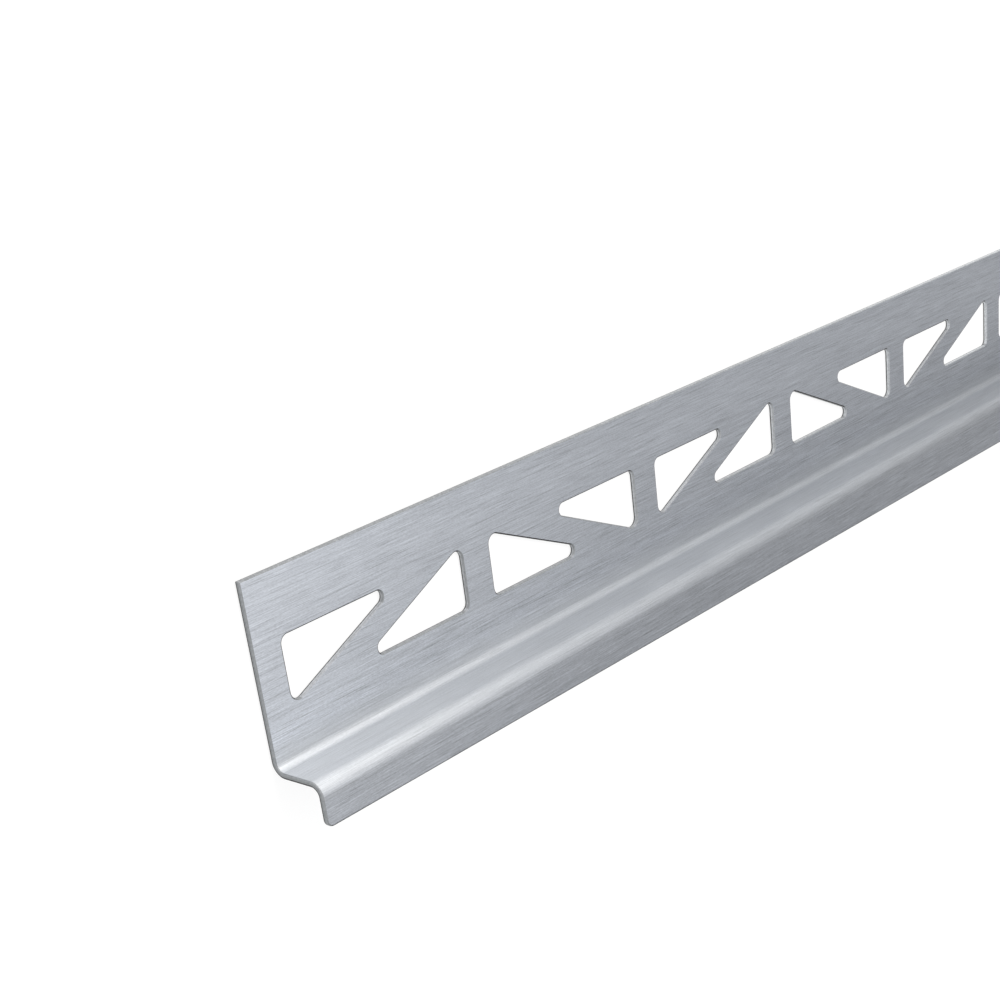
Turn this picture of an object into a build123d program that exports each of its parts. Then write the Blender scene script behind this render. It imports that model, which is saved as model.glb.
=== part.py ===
# Shower slope wedge profile: one strip of stainless sheet, pierced, bent twice and cut to a slope.
# X runs along the profile from its low end. It lies on its back: the pierced anchoring leg is flat on
# the floor with its top edge at +Y, and the wedge leg hangs towards -Y at a tile's depth above the floor.
import os
from math import cos, radians, sin, tan

from build123d import *

# The sheet and its two bends
sheet = 1.0
bend_radius = 1.5

# The strip: tile_depth is from the anchoring leg's front to the wedge leg's front, so that the wedge
# is flush with the tiles. All heights are measured from the shelf that the tiles stand on.
length = 990.0
anchor_height = 31.8
tile_depth = 10.0
wedge_low_height = 7.7
wedge_high_height = 20.0
foot_radius = 1.3

# The row of windows in the anchoring leg, in pairs with a slanting strut between the two
end_margin = 5.8
pair_pitch = 49.25
post_width = 6.95
window_low = 10.1
window_high = 20.8
strut_width = 5.0
strut_angle = radians(23.5)
square_corner_radius = 1.4
post_corner_radius = 1.6
rail_corner_radius = 1.2

# The part is centred on its box along X and Y, and its back is at Z = 0.
low_end = -length / 2
high_end = length / 2
shelf_y = (wedge_high_height - anchor_height) / 2
anchor_edge_y = shelf_y + anchor_height
wedge_edge_y = shelf_y - wedge_high_height
front_z = sheet + tile_depth

# Spare sheet round the outline, which cutting to length and slope takes away
spare = 3.0

pair_width = pair_pitch - post_width
window_height = window_high - window_low
pair_count = int((length - 2 * end_margin + post_width) // pair_pitch)

# Legs of each triangular window as if its corners were sharp. The strut's middle line passes through
# the middle of the pair, so each slanting edge lies half a strut from it.
window_base = (pair_width + window_height / tan(strut_angle) - strut_width / sin(strut_angle)) / 2
window_rise = (window_height + pair_width * tan(strut_angle) - strut_width / cos(strut_angle)) / 2


def bent_sheet():
    """The sheet bent to its Z section, with the spare material still on all its edges."""
    with BuildPart() as bent:
        with BuildSketch(Plane.YZ.offset(low_end - spare)):
            with BuildLine():
                FilletPolyline(
                    (anchor_edge_y + spare, 0),
                    (shelf_y - sheet, 0),
                    (shelf_y - sheet, tile_depth),
                    (wedge_edge_y - spare, tile_depth),
                    radius=[bend_radius + sheet, bend_radius],
                )
                offset(amount=sheet, side=Side.RIGHT)
            make_face()
        extrude(amount=length + 2 * spare)
    return bent.part


def window():
    """One triangular window, its square corner at the origin and its legs along +X and +Y."""
    rail_tip = (window_base, 0)
    post_tip = (0, window_rise)
    corners = (((0, 0), square_corner_radius), (rail_tip, rail_corner_radius), (post_tip, post_corner_radius))
    with BuildSketch() as triangle:
        with BuildLine():
            Polyline((0, 0), rail_tip, post_tip, close=True)
        make_face()
        for corner, radius in corners:
            fillet(triangle.vertices().sort_by_distance(corner)[0], radius)
    return triangle.sketch


def outline():
    """The profile seen square on: the sloped outline with its row of windows."""
    shape = window()
    low_y = shelf_y + window_low
    high_y = shelf_y + window_high
    with BuildSketch() as plan:
        with BuildLine():
            Polyline(
                (low_end, anchor_edge_y),
                (high_end, anchor_edge_y),
                (high_end, wedge_edge_y),
                (low_end, shelf_y - wedge_low_height),
                close=True,
            )
        make_face()
        fillet(plan.vertices().group_by(Axis.Y)[0] + plan.vertices().group_by(Axis.Y)[1], foot_radius)
        for pair in range(pair_count):
            left = low_end + end_margin + pair * pair_pitch
            right = left + pair_width
            # The strut rises towards the high end in the first pair of two, and falls in the second.
            if pair % 2 == 0:
                places = ((left, high_y, 1, -1), (right, low_y, -1, 1))
            else:
                places = ((left, low_y, 1, 1), (right, high_y, -1, -1))
            for x, y, along, up in places:
                turned = shape if along > 0 else mirror(shape, about=Plane.YZ)
                turned = turned if up > 0 else mirror(turned, about=Plane.XZ)
                add(Location((x, y)) * turned, mode=Mode.SUBTRACT)
    return plan.sketch


def wedge_profile():
    """The bent sheet, cut through square to its faces along the outline and the windows."""
    cutter = extrude(outline(), amount=front_z + 2 * spare)
    return bent_sheet() & (Location((0, 0, -spare)) * cutter)


os.makedirs("parts", exist_ok=True)
export_step(wedge_profile(), "parts/wedge_profile.step")
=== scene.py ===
from math import cos, pi, radians, sin, tan

import bmesh
import bpy
from mathutils import Matrix, Vector


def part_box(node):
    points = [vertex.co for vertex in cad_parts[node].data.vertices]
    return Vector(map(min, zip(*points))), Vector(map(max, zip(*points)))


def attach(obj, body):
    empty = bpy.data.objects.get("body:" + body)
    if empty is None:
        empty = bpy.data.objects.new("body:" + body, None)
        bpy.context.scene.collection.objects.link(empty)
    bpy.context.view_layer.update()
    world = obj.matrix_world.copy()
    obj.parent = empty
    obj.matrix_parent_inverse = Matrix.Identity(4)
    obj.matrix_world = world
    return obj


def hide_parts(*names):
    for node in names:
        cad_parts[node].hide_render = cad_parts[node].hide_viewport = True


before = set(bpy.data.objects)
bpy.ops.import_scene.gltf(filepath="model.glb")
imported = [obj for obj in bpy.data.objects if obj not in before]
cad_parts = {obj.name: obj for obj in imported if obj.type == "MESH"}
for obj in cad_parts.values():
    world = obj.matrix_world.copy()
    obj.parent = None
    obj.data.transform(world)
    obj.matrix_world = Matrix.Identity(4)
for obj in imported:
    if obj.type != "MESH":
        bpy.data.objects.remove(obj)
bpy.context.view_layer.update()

NODE = "wedge_profile"
MM = 0.001

# Sizes in millimetres. What the frame gives is read from it, and the rest is the sheet's own.
low, high = (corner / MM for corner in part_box(NODE))
SHEET = 1.0
BEND_RADIUS = 1.5
WEDGE_LOW_HEIGHT = 7.7
FOOT_RADIUS = 1.3
ANCHOR_HEIGHT = 31.8
END_MARGIN = 5.8
PAIR_PITCH = 49.25
POST_WIDTH = 6.95
WINDOW_LOW = 10.1
WINDOW_HIGH = 20.8
STRUT_WIDTH = 5.0
STRUT_ANGLE = radians(23.5)
SQUARE_CORNER_RADIUS = 1.4
POST_CORNER_RADIUS = 1.6
RAIL_CORNER_RADIUS = 1.2
EDGE_BREAK = 0.24

# How finely the shapes are made: flats in a bend, the turn at each point of a rounded corner, the angle
# from which an edge is sharp, and the distances in mm at which corners are welded and cuts snap to them
BEND_STEPS = 18
CORNER_STEP = radians(12)
SHARP_FROM = radians(12)
WELD = 0.001
SNAP = 0.00001

low_end, high_end = low.x, high.x
anchor_edge = high.y
shelf = anchor_edge - ANCHOR_HEIGHT
wedge_high_height = shelf - low.y
tile_depth = high.z - SHEET
pair_width = PAIR_PITCH - POST_WIDTH
window_height = WINDOW_HIGH - WINDOW_LOW
pair_count = int((high_end - low_end - 2 * END_MARGIN + POST_WIDTH) // PAIR_PITCH)
window_base = (pair_width + window_height / tan(STRUT_ANGLE) - STRUT_WIDTH / sin(STRUT_ANGLE)) / 2
window_rise = (window_height + pair_width * tan(STRUT_ANGLE) - STRUT_WIDTH / cos(STRUT_ANGLE)) / 2

# The flat blank, before bending. Its Y is the profile's own on the anchoring leg, and goes on down
# through the first bend, the shelf, the second bend and the wedge leg along the middle of the sheet.
neutral_radius = BEND_RADIUS + SHEET / 2
bend_length = neutral_radius * pi / 2
first_bend = shelf + BEND_RADIUS
shelf_start = first_bend - bend_length
second_bend = shelf_start - (tile_depth - 2 * BEND_RADIUS - SHEET)
wedge_start = second_bend - bend_length

# Brushed steel: its colour, and its roughness from the darkest streaks to the palest
STEEL = (0.544, 0.57, 0.617)
STEEL_ROUGHNESS = (0.41, 0.35)
ANISOTROPY = 0.85
SCRATCH_DEPTH = 0.00002
SCRATCH_STRENGTH = 0.1
# The streaks' length and breadth in mm, the noise they start and end at, and how much paler they are
STREAKS = (
    (7.0, 0.14, 0.50, 0.72, 0.23),
    (8.0, 0.15, 0.52, 0.74, -0.29),
    (30.0, 0.45, 0.30, 0.70, 0.10),
    (0.5, 0.14, 0.30, 0.70, 0.20),
    (30.0, 7.0, 0.30, 0.70, 0.05),
)
STREAKS_MEAN = 0.13
STREAKS_RANGE = (-0.3, 0.3)
PATTERN_STEP = 3.7
# The steel's level at two heights on the profile, darker low down and paler up the anchoring leg as painted
# shade and light, and the painted light its low end has on top of that
PAINTED_LEVEL_HEIGHTS = (-3.0, 20.0)
PAINTED_LEVELS = (0.85, 1.07)
PAINTED_LIGHT_END = 26.0
PAINTED_LIGHT_END_LEVEL = 0.08

# The bending tool takes this share of the grain off along the shelf and leaves it duller, and there the
# steel is paler with a painted sheen where the bends' highlights fall. Above and below the shelf it does so
# up to the first height, and not at all from the second.
RUBBED_SHEEN_STEEL = (0.595, 0.618, 0.652)
RUBBED_ROUGHER = 0.08
GRAIN_RUBBED_OFF = 0.55
RUBBED_ABOVE = (1.6, 5.0)
RUBBED_BELOW = (1.0, 3.4)

# The cuts' finishes are plain and a little uneven. Their levels along X are painted light and shade:
# towards the high end they are paler, but on top of the rising struts darker there and paler towards the
# low end. Each has a level at two distances along.
CUT_GRAIN = 0.5
CUT_UNEVEN = (0.85, 1.15)
CUT_ROUGHNESS = 0.5
PAINTED_LEVELS_ALONG = (-447.0, -250.0)
CUT_PAINTED_LEVELS = (0.83, 1.38)
STRUT_PAINTED_LEVELS = (1.22, 0.9)
CUT_FINISHES = (
    ("broken_edge", (0.385, 0.4, 0.415), CUT_PAINTED_LEVELS),
    # Near-black painted shade, drawn as dark outlines on edges turned away
    ("burred_edge", (0.08, 0.08, 0.08), CUT_PAINTED_LEVELS),
    ("punched_edge", (0.445, 0.457, 0.472), CUT_PAINTED_LEVELS),
    ("cross_cut", (0.445, 0.46, 0.475), CUT_PAINTED_LEVELS),
    # The sawn ends are darker with painted shade
    ("sawn_end", (0.32, 0.335, 0.345), CUT_PAINTED_LEVELS),
    # Lit and shaded copies of the punched wall and the broken edge, on top of the rising struts
    ("strut_wall", (0.41, 0.422, 0.437), STRUT_PAINTED_LEVELS),
    ("strut_rim", (0.33, 0.342, 0.362), STRUT_PAINTED_LEVELS),
)
# The finishes by number, the brushed one first
BRUSHED, BROKEN, PAINTED_SHADE_RIM, PUNCHED, CROSS_CUT, SAWN_SHADED, STRUT_WALL, STRUT_RIM = range(8)

# Walls have a near-black painted shade up to this height, drawn as a dark outline. In front, rims have it
# where they face this way by the share.
PAINTED_SHADE_HEIGHT = 0.36
PAINTED_SHADE_TOWARDS = Vector((1.5, -1.0, 0))
PAINTED_SHADE_SHARE = 0.1
# The share of a normal along Z on the sheet's two sides and on rims, along X on a cross cut, and on top
# of a rising strut along that slope's own normal
SIDE_NORMAL = 0.99
RIM_NORMAL = 0.01
CROSS_NORMAL = 0.8
STRUT_NORMAL = 0.97


class Nodes:
    """A node tree whose nodes are made and joined by short calls."""

    def __init__(self, tree):
        self.tree = tree

    def fill(self, node, sockets):
        """Gives each socket another node's output, or a plain value."""
        for name, value in sockets.items():
            if isinstance(value, bpy.types.NodeSocket):
                self.tree.links.new(value, node.inputs[name])
            else:
                node.inputs[name].default_value = value

    def node(self, kind, sockets=None, **settings):
        node = self.tree.nodes.new(kind)
        for name, value in settings.items():
            setattr(node, name, value)
        self.fill(node, sockets or {})
        return node

    def maths(self, operation, a, b=0.0):
        return self.node("ShaderNodeMath", {0: a, 1: b}, operation=operation).outputs[0]


class Finish(Nodes):
    """A finish of the profile, whose patterns read its Object coordinates."""

    def __init__(self, name):
        self.material = bpy.data.materials.new(name)
        self.material.use_nodes = True
        super().__init__(self.material.node_tree)
        self.shader = self.tree.nodes["Principled BSDF"]
        self.place = self.node("ShaderNodeTexCoord").outputs["Object"]

    def noise(self, long, across, detail, seed=0.0):
        """Noise whose grains are this many millimetres long, along X, and across. It runs from 0 to 1."""
        scale = (1 / (long * MM), 1 / (across * MM), 1 / (across * MM))
        sockets = {"Vector": self.place, "Scale": scale, "Location": (seed,) * 3}
        place = self.node("ShaderNodeMapping", sockets).outputs[0]
        sockets = {"Vector": place, "Scale": 1.0, "Detail": detail, "Roughness": 0.5}
        return self.node("ShaderNodeTexNoise", sockets).outputs[0]

    def spread(self, value, low, high, from_low=0.3, from_high=0.7):
        """A value, such as noise, spread over a range and held at its ends."""
        sockets = {0: value, 1: from_low, 2: from_high, 3: low, 4: high}
        return self.node("ShaderNodeMapRange", sockets).outputs[0]

    def ramp(self, coordinate, low, high, start, end):
        """A value that runs from low to high between two places, in millimetres."""
        return self.spread(coordinate, low, high, start * MM, end * MM)

    def rest_of(self, share):
        """What a share leaves of 1."""
        return self.maths("SUBTRACT", 1.0, share)

    def tint(self, colour, level):
        return self.node("ShaderNodeVectorMath", {0: colour, "Scale": level}, operation="SCALE").outputs[0]


def brushed_stainless():
    """Cold-rolled strip brushed along its length, with painted light and shade by height and at the low
    end, and a painted sheen on the shelf and bends.
    """
    f = Finish("brushed_stainless")
    grain = -STREAKS_MEAN
    for number, (long, across, start, end, paler) in enumerate(STREAKS):
        noise = f.noise(long, across, detail=1.0, seed=PATTERN_STEP * number)
        grain = f.maths("ADD", f.spread(noise, 0.0, paler, start, end), grain)

    # The shelf and both bends are rubbed, and their paler steel is a painted sheen.
    place = f.node("ShaderNodeSeparateXYZ", {0: f.place}).outputs
    along, height = place["X"], place["Y"]
    over = f.ramp(height, 1.0, 0.0, shelf + RUBBED_ABOVE[0], shelf + RUBBED_ABOVE[1])
    under = f.ramp(height, 0.0, 1.0, shelf - RUBBED_BELOW[1], shelf - RUBBED_BELOW[0])
    rubbed_and_sheen = f.maths("MINIMUM", over, under)
    grain = f.maths("MULTIPLY", grain, f.rest_of(f.maths("MULTIPLY", rubbed_and_sheen, GRAIN_RUBBED_OFF)))

    # Painted light and shade: the steel is darker low on the profile and paler towards the anchoring leg's
    # free edge, and the anchoring leg has painted light towards its low end.
    level = f.maths("ADD", grain, f.ramp(height, *PAINTED_LEVELS, *PAINTED_LEVEL_HEIGHTS))
    painted_end_light = f.ramp(along, PAINTED_LIGHT_END_LEVEL, 0.0, low_end, low_end + PAINTED_LIGHT_END)
    level = f.maths("ADD", level, f.maths("MULTIPLY", painted_end_light, f.rest_of(over)))

    # The paler steel on the shelf and bends is a painted sheen.
    steels = {0: rubbed_and_sheen, 6: (*STEEL, 1), 7: (*RUBBED_SHEEN_STEEL, 1)}
    colour = f.node("ShaderNodeMix", steels, data_type="RGBA").outputs[2]
    roughness = f.spread(grain, *STEEL_ROUGHNESS, *STREAKS_RANGE)
    scratches = {"Height": grain, "Strength": SCRATCH_STRENGTH, "Distance": SCRATCH_DEPTH}
    f.fill(f.shader, {
        "Base Color": f.tint(colour, level),
        "Roughness": f.maths("ADD", roughness, f.maths("MULTIPLY", rubbed_and_sheen, RUBBED_ROUGHER)),
        "Normal": f.node("ShaderNodeBump", scratches).outputs[0],
        "Tangent": f.node("ShaderNodeTangent", direction_type="RADIAL", axis="X").outputs[0],
        "Metallic": 1.0,
        "Anisotropic": ANISOTROPY,
    })
    return f.material


def cut_edge(name, colour, painted_levels):
    """The dull wall that the cutting tool leaves, or its broken edge, with painted light and shade along X
    by the levels.
    """
    f = Finish(name)
    grain = f.spread(f.noise(CUT_GRAIN, CUT_GRAIN, detail=2.0), *CUT_UNEVEN)
    along = f.node("ShaderNodeSeparateXYZ", {0: f.place}).outputs["X"]
    # Painted light and shade: paler or darker along X by the levels.
    level = f.maths("MULTIPLY", grain, f.ramp(along, *painted_levels, *PAINTED_LEVELS_ALONG))
    f.fill(f.shader, {"Base Color": f.tint(colour, level), "Metallic": 1.0, "Roughness": CUT_ROUGHNESS})
    return f.material


def blank_y(wedge_height):
    """The blank's Y at a wedge leg of the given height."""
    return wedge_start - (wedge_height - SHEET - BEND_RADIUS)


def rounded(corners):
    """A closed outline, counter-clockwise, from ((x, y), radius) corners."""
    points = []
    for i, (corner, radius) in enumerate(corners):
        corner = Vector(corner)
        if not radius:
            points.append(corner)
            continue
        before = (Vector(corners[i - 1][0]) - corner).normalized()
        after = (Vector(corners[(i + 1) % len(corners)][0]) - corner).normalized()
        half = before.angle(after) / 2
        centre = corner + (before + after).normalized() * radius / sin(half)
        start = corner + before * radius / tan(half) - centre
        turn = pi - 2 * half
        steps = max(4, round(turn / CORNER_STEP))
        for k in range(steps + 1):
            points.append(centre + Matrix.Rotation(turn * k / steps, 2) @ start)
    return points


def cut_wall(name, outline, side):
    """The wall of a cut along an outline, its edges broken. side is 1 where the metal is inside it."""
    count = len(outline)
    inwards = []
    for i, point in enumerate(outline):
        a = (point - outline[i - 1]).normalized()
        b = (outline[(i + 1) % count] - point).normalized()
        a, b = Vector((-a.y, a.x)), Vector((-b.y, b.x))
        inwards.append((a + b) / (1 + a.dot(b)) * side)
    edge = [(EDGE_BREAK * (1 - sin(a)), EDGE_BREAK * (1 - cos(a))) for a in (0, pi / 4, pi / 2)]
    profile = edge + [(0, PAINTED_SHADE_HEIGHT)] + [(inset, SHEET - height) for inset, height in reversed(edge)]
    vertices = [(*(p + n * inset), height) for inset, height in profile for p, n in zip(outline, inwards)]
    faces = [
        (row + i, row + (i + 1) % count, row + count + (i + 1) % count, row + count + i)
        for row in range(0, count * (len(profile) - 1), count)
        for i in range(count)
    ]
    return placed(name, vertices, faces)


def placed(name, vertices, faces):
    """An object in the scene, with a mesh of these vertices and faces."""
    mesh = bpy.data.meshes.new(name)
    mesh.from_pydata(vertices, [], faces)
    thing = bpy.data.objects.new(name, mesh)
    bpy.context.scene.collection.objects.link(thing)
    return thing


class BlankTree(Nodes):
    """A geometry node tree with named inputs for its sizes."""

    def __init__(self, name):
        super().__init__(bpy.data.node_groups.new(name, "GeometryNodeTree"))
        for in_out in ("INPUT", "OUTPUT"):
            self.tree.interface.new_socket("Geometry", in_out=in_out, socket_type="NodeSocketGeometry")
        self.inputs = self.tree.nodes.new("NodeGroupInput")

    def size(self, name, kind="NodeSocketFloat"):
        self.tree.interface.new_socket(name, in_out="INPUT", socket_type=kind)
        return self.inputs.outputs[name]

    def join(self, *things):
        node = self.node("GeometryNodeJoinGeometry")
        for thing in reversed(things):
            self.tree.links.new(thing, node.inputs[0])
        return node.outputs[0]


def pierced_blank_tree():
    """Sets the window's wall out along the blank, and fills the two faces between all the cuts."""
    g = BlankTree("pierced_blank")
    outline = g.size("Outline wall", "NodeSocketObject")
    pairs = g.size("Pairs", "NodeSocketInt")
    pitch, width, start = g.size("Pitch"), g.size("Pair width"), g.size("Start")
    middle, height, sheet = g.size("Middle"), g.size("Window height"), g.size("Sheet")

    # Window n is one of a pair: along is 1 for the left one and -1 for the right one, and up is 1 for
    # the one on the lower rail. The strut rises in even pairs and falls in odd ones.
    number = g.node("GeometryNodeInputIndex").outputs[0]
    pair = g.maths("FLOOR", g.maths("DIVIDE", number, 2.0))
    second = g.maths("MODULO", number, 2.0)
    odd = g.maths("MODULO", pair, 2.0)
    along = g.maths("SUBTRACT", 1.0, g.maths("MULTIPLY", second, 2.0))
    falling = g.maths("SUBTRACT", g.maths("MULTIPLY", odd, 2.0), 1.0)
    up = g.maths("MULTIPLY", along, falling)
    left = g.maths("ADD", start, g.maths("MULTIPLY", pair, pitch))
    x = g.maths("ADD", left, g.maths("MULTIPLY", second, width))
    y = g.maths("SUBTRACT", middle, g.maths("MULTIPLY", up, g.maths("DIVIDE", height, 2.0)))

    place = g.node("ShaderNodeCombineXYZ", {"X": x, "Y": y}).outputs[0]
    turned = g.node("ShaderNodeCombineXYZ", {"X": along, "Y": up, "Z": 1.0}).outputs[0]
    row = g.node("GeometryNodeMeshLine", {"Count": g.maths("MULTIPLY", pairs, 2.0)}).outputs[0]
    row = g.node("GeometryNodeSetPosition", {"Geometry": row, "Position": place}).outputs[0]
    walls = g.node(
        "GeometryNodeInstanceOnPoints",
        {"Points": row, "Instance": g.inputs.outputs["Geometry"], "Scale": turned},
    ).outputs[0]
    walls = g.node("GeometryNodeRealizeInstances", {"Geometry": walls}).outputs[0]
    border = g.node("GeometryNodeObjectInfo", {"Object": outline}).outputs["Geometry"]
    walls = g.join(walls, border)

    # The faces run between the open rims of all the walls: one at the back, one a sheet's thickness up.
    neighbours = g.node("GeometryNodeInputMeshEdgeNeighbors").outputs[0]
    open_edge = g.node(
        "FunctionNodeCompare", {2: neighbours, 3: 1}, data_type="INT", operation="EQUAL"
    ).outputs[0]
    position = g.node("GeometryNodeInputPosition").outputs[0]
    level = g.node("ShaderNodeSeparateXYZ", {0: position}).outputs["Z"]
    parts = [walls]
    for operation, lift in (("LESS_THAN", 0.0), ("GREATER_THAN", sheet)):
        here = g.maths(operation, level, g.maths("MULTIPLY", sheet, 0.5))
        rim = g.node("FunctionNodeBooleanMath", {0: open_edge, 1: here}, operation="AND").outputs[0]
        curve = g.node("GeometryNodeMeshToCurve", {"Mesh": walls, "Selection": rim}).outputs[0]
        face = g.node("GeometryNodeFillCurve", {"Curve": curve}).outputs[0]
        raised = g.node("ShaderNodeCombineXYZ", {"Z": lift}).outputs[0]
        parts.append(g.node("GeometryNodeSetPosition", {"Geometry": face, "Offset": raised}).outputs[0])
    blank = g.node("GeometryNodeMergeByDistance", {"Geometry": g.join(*parts), "Distance": WELD}).outputs[0]
    blank = g.node("GeometryNodeRealizeInstances", {"Geometry": blank}).outputs[0]
    sockets = {"Geometry": blank, "Material": brushed_stainless()}
    blank = g.node("GeometryNodeSetMaterial", sockets).outputs[0]
    g.node("NodeGroupOutput", {"Geometry": blank})
    return g.tree


def pierced_blank():
    """The flat blank as a mesh in millimetres."""
    window = rounded([
        ((0, 0), SQUARE_CORNER_RADIUS),
        ((window_base, 0), RAIL_CORNER_RADIUS),
        ((0, window_rise), POST_CORNER_RADIUS),
    ])
    border = rounded([
        ((low_end, blank_y(WEDGE_LOW_HEIGHT)), FOOT_RADIUS),
        ((high_end, blank_y(wedge_high_height)), FOOT_RADIUS),
        ((high_end, anchor_edge), 0),
        ((low_end, anchor_edge), 0),
    ])
    window_wall = cut_wall("window_wall", window, -1)
    border_wall = cut_wall("border_wall", border, 1)
    modifier = window_wall.modifiers.new("pierced_blank", "NODES")
    modifier.node_group = pierced_blank_tree()
    values = {
        "Outline wall": border_wall,
        "Pairs": pair_count,
        "Pitch": PAIR_PITCH,
        "Pair width": pair_width,
        "Start": low_end + END_MARGIN,
        "Middle": shelf + (WINDOW_LOW + WINDOW_HIGH) / 2,
        "Window height": window_height,
        "Sheet": SHEET,
    }
    for socket in modifier.node_group.interface.items_tree:
        if socket.name in values:
            modifier[socket.identifier] = values[socket.name]
    graph = bpy.context.evaluated_depsgraph_get()
    blank = bpy.data.meshes.new_from_object(window_wall.evaluated_get(graph))
    for thing in (window_wall, border_wall):
        bpy.data.objects.remove(thing)
    return blank


def folded(point):
    """Where a point of the flat blank lies once both bends are made."""
    x, y, depth = point
    if y >= first_bend:
        return Vector((x, y, depth))
    # The first bend turns about a line in front of the anchoring leg, towards the tiles.
    turn = min((first_bend - y) / neutral_radius, pi / 2)
    reach = BEND_RADIUS + SHEET - depth
    past = max(shelf_start - max(y, second_bend), 0)
    place = Vector((x, first_bend - reach * sin(turn), SHEET + BEND_RADIUS - reach * cos(turn) + past))
    if y >= second_bend:
        return place
    # The second turns about a line under the shelf, and brings the wedge leg down.
    turn = min((second_bend - y) / neutral_radius, pi / 2)
    reach = BEND_RADIUS + depth
    past = max(wedge_start - y, 0)
    axis_y = shelf - SHEET - BEND_RADIUS
    return Vector((x, axis_y + reach * cos(turn) - past, tile_depth - BEND_RADIUS + reach * sin(turn)))


def finish_number(face):
    """The number of a face's finish, on the flat blank. The cuts' walls stand upright, and rims lean."""
    normal, place = face.normal, face.calc_center_median()
    if abs(normal.z) > SIDE_NORMAL:
        return BRUSHED
    leans = abs(normal.z) > RIM_NORMAL
    # Near-black painted shade on the back of each wall and on front rims turned towards +X and -Y
    if place.z < PAINTED_SHADE_HEIGHT or (leans and normal.dot(PAINTED_SHADE_TOWARDS) > PAINTED_SHADE_SHARE):
        return PAINTED_SHADE_RIM
    strut_top = Vector((-sin(STRUT_ANGLE), cos(STRUT_ANGLE), 0))
    if Vector((normal.x, normal.y, 0)).normalized().dot(strut_top) > STRUT_NORMAL:
        return STRUT_RIM if leans else STRUT_WALL
    if leans:
        return BROKEN
    if abs(normal.x) < CROSS_NORMAL:
        return PUNCHED
    # The ends take the darker sawn finish, a painted shade.
    return SAWN_SHADED if abs(place.x) > high_end - SHEET / 2 else CROSS_CUT


def bent_profile():
    """The blank with both bends made, as one piece in metres."""
    mesh = pierced_blank()
    finishes = [finish for finish in mesh.materials if finish]
    finishes += [cut_edge(*finish) for finish in CUT_FINISHES]
    mesh.materials.clear()
    for finish in finishes:
        mesh.materials.append(finish)
    work = bmesh.new()
    work.from_mesh(mesh)
    for start in (first_bend, second_bend):
        for step in range(BEND_STEPS + 1):
            line = Vector((0, start - bend_length * step / BEND_STEPS, 0))
            everything = work.verts[:] + work.edges[:] + work.faces[:]
            bmesh.ops.bisect_plane(work, geom=everything, plane_co=line, plane_no=(0, 1, 0), dist=SNAP)
    bmesh.ops.recalc_face_normals(work, faces=work.faces)
    for face in work.faces:
        face.material_index = finish_number(face)
    for vertex in work.verts:
        vertex.co = folded(vertex.co) * MM
    work.to_mesh(mesh)
    work.free()
    mesh.shade_smooth()
    mesh.set_sharp_from_angle(angle=SHARP_FROM)
    piece = bpy.data.objects.new("brushed_profile", mesh)
    bpy.context.scene.collection.objects.link(piece)
    return piece


profile = bent_profile()
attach(profile, "root")
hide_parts(NODE)


def towards(azimuth, elevation):
    """The direction at an azimuth from +X towards +Y, and an elevation, in degrees."""
    azimuth, elevation = radians(azimuth), radians(elevation)
    return Vector((cos(elevation) * cos(azimuth), cos(elevation) * sin(azimuth), sin(elevation)))


# Studio, in metres and degrees. What the metal mirrors is a white room with two soft grey patches on a
# curved screen, and a softbox. Each patch is (azimuth, elevation), its level, and the angles from its
# middle at which it starts to pale and is white again.
STUDIO_MIDDLE = Vector((-0.4, 0, 0))
SCREEN_AWAY = 3.0
SCREEN_LEVEL = 1.05
SCREEN_AZIMUTHS = range(-120, 51, 5)
SCREEN_ELEVATIONS = range(-5, 76, 5)
GREY_PATCHES = (((-13.0, 8.0), 0.5, 34.0, 41.0), ((-60.0, 12.6), 0.04, 15.0, 51.0))
SOFTBOX_TOWARDS = (70.9, 32.0)
SOFTBOX_AWAY = 2.5
SOFTBOX_SIZE = (1.83, 2.8)
SOFTBOX_LEVEL = 2.3
SOFTBOX_COLOUR = (1.0, 0.97, 0.92)
# The floor lights the profile as a plain grey one would. To the camera and in the metal it glows instead,
# and a darker grey under the glow takes the shadow.
FLOOR_SIZE = 16
FLOOR_HEIGHT = -0.00002
FLOOR_GREY = (0.8, 0.8, 0.8, 1)
FLOOR_GLOW = 0.82
FLOOR_SHADOW = (0.22, 0.22, 0.22, 1)


def bare_material(name):
    """A material, and its node tree with nothing in it."""
    material = bpy.data.materials.new(name)
    material.use_nodes = True
    material.node_tree.nodes.clear()
    return material, Nodes(material.node_tree)


def floor_material():
    """Plain white, also as the metal shows it, with the object's shadow kept."""
    material, n = bare_material("pale_floor")
    path = n.node("ShaderNodeLightPath").outputs
    seen = n.maths("MAXIMUM", path["Is Camera Ray"], path["Is Glossy Ray"])
    seen = n.maths("MAXIMUM", seen, path["Is Transmission Ray"])
    plain = n.node("ShaderNodeBsdfDiffuse", {"Color": FLOOR_GREY}).outputs[0]
    shadowed = n.node("ShaderNodeBsdfDiffuse", {"Color": FLOOR_SHADOW}).outputs[0]
    glow = n.node("ShaderNodeEmission", {"Strength": FLOOR_GLOW}).outputs[0]
    both = n.node("ShaderNodeAddShader", {0: shadowed, 1: glow}).outputs[0]
    mixed = n.node("ShaderNodeMixShader", {0: seen, 1: plain, 2: both}).outputs[0]
    n.node("ShaderNodeOutputMaterial", {"Surface": mixed})
    return material


def floor():
    side = FLOOR_SIZE / 2
    corners = [(x * side, y * side, FLOOR_HEIGHT) for x, y in ((-1, -1), (1, -1), (1, 1), (-1, 1))]
    thing = placed("floor", corners, [(0, 1, 2, 3)])
    thing.data.materials.append(floor_material())


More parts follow.
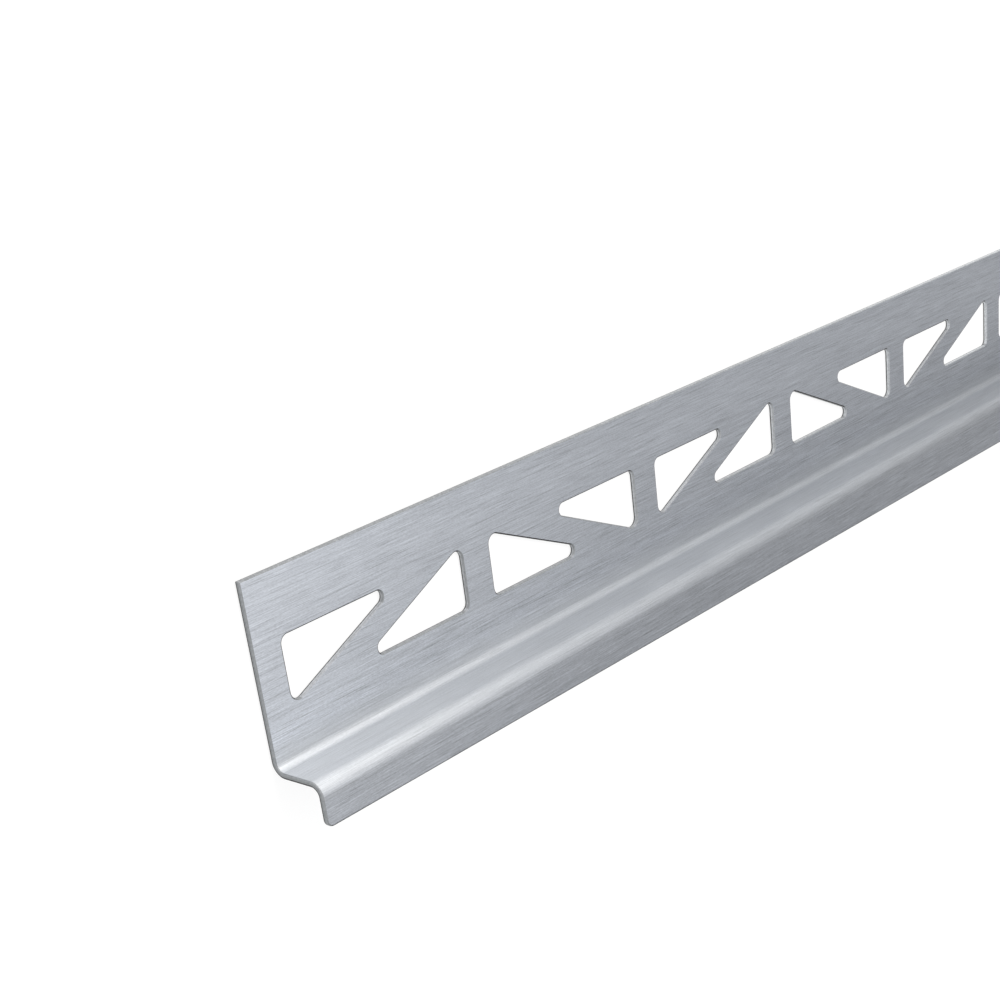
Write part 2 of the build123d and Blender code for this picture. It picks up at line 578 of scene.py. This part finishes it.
def screen_material():
    """White with the grey patches, each by its distance from the patch's middle."""
    material, n = bare_material("screen")
    place = n.node("ShaderNodeTexCoord").outputs["Object"]
    level = SCREEN_LEVEL
    for direction, patch_level, start, end in GREY_PATCHES:
        middle = STUDIO_MIDDLE + towards(*direction) * SCREEN_AWAY
        away = n.node("ShaderNodeVectorMath", {0: place, 1: middle}, operation="DISTANCE").outputs["Value"]
        chords = [2 * SCREEN_AWAY * sin(radians(angle) / 2) for angle in (start, end)]
        sockets = {0: away, 1: chords[0], 2: chords[1], 3: patch_level, 4: SCREEN_LEVEL}
        patch = n.node("ShaderNodeMapRange", sockets, interpolation_type="SMOOTHSTEP").outputs[0]
        level = n.maths("MINIMUM", level, patch)
    glow = n.node("ShaderNodeEmission", {"Color": (1, 1, 1, 1), "Strength": level}).outputs[0]
    n.node("ShaderNodeOutputMaterial", {"Surface": glow})
    return material


def curved_screen():
    """Part of a sphere round the profile, which only the metal's reflections see."""
    vertices = [
        STUDIO_MIDDLE + towards(azimuth, elevation) * SCREEN_AWAY
        for elevation in SCREEN_ELEVATIONS
        for azimuth in SCREEN_AZIMUTHS
    ]
    count = len(SCREEN_AZIMUTHS)
    faces = [
        (row * count + i, row * count + i + 1, (row + 1) * count + i + 1, (row + 1) * count + i)
        for row in range(len(SCREEN_ELEVATIONS) - 1)
        for i in range(count - 1)
    ]
    thing = placed("screen", vertices, faces)
    thing.data.materials.append(screen_material())
    thing.visible_camera = False
    thing.visible_diffuse = False
    thing.visible_shadow = False


def softbox():
    """A large softbox over the tile side, which makes the highlights on the two bends."""
    light = bpy.data.lights.new("softbox", "AREA")
    light.shape = "RECTANGLE"
    light.size, light.size_y = SOFTBOX_SIZE
    light.color = SOFTBOX_COLOUR
    light.energy = SOFTBOX_LEVEL * pi * SOFTBOX_SIZE[0] * SOFTBOX_SIZE[1]
    holder = bpy.data.objects.new("softbox", light)
    outwards = towards(*SOFTBOX_TOWARDS)
    place = Matrix.Translation(STUDIO_MIDDLE + outwards * SOFTBOX_AWAY)
    holder.matrix_world = place @ outwards.to_track_quat("Z", "Y").to_matrix().to_4x4()
    bpy.context.scene.collection.objects.link(holder)


floor()
curved_screen()
softbox()

# Camera, in millimetres. The roll turns it about its own axis, from the profile's Y upright.
CAMERA_AT = (-638.54, 100.27, 189.37)
CAMERA_AIM = (-451.11, -19.21, 1.0)
CAMERA_ROLL = radians(8.39)
LENS = 58.839
SHIFT = (0.028, 0.2485)
eye, aim = Vector(CAMERA_AT) * MM, Vector(CAMERA_AIM) * MM
ahead = (aim - eye).normalized()
up = Vector((0, 1, 0))
up = (up - ahead * up.dot(ahead)).normalized()
side = ahead.cross(up)
up = up * cos(CAMERA_ROLL) + side * sin(CAMERA_ROLL)
side = ahead.cross(up)
camera = bpy.data.objects.new("camera", bpy.data.cameras.new("camera"))
camera.matrix_world = Matrix.Translation(eye) @ Matrix((side, up, -ahead)).transposed().to_4x4()
camera.data.lens = LENS
camera.data.sensor_width = 36
camera.data.shift_x, camera.data.shift_y = SHIFT
camera.data.clip_start, camera.data.clip_end = 0.01, 50
bpy.context.scene.collection.objects.link(camera)
bpy.context.scene.camera = camera

# World
world = bpy.data.worlds.new("studio")
bpy.context.scene.world = world
world.use_nodes = True
world.node_tree.nodes["Background"].inputs["Color"].default_value = (1, 1, 1, 1)
world.node_tree.nodes["Background"].inputs["Strength"].default_value = 1.0
bpy.context.scene.view_settings.view_transform = "Standard"
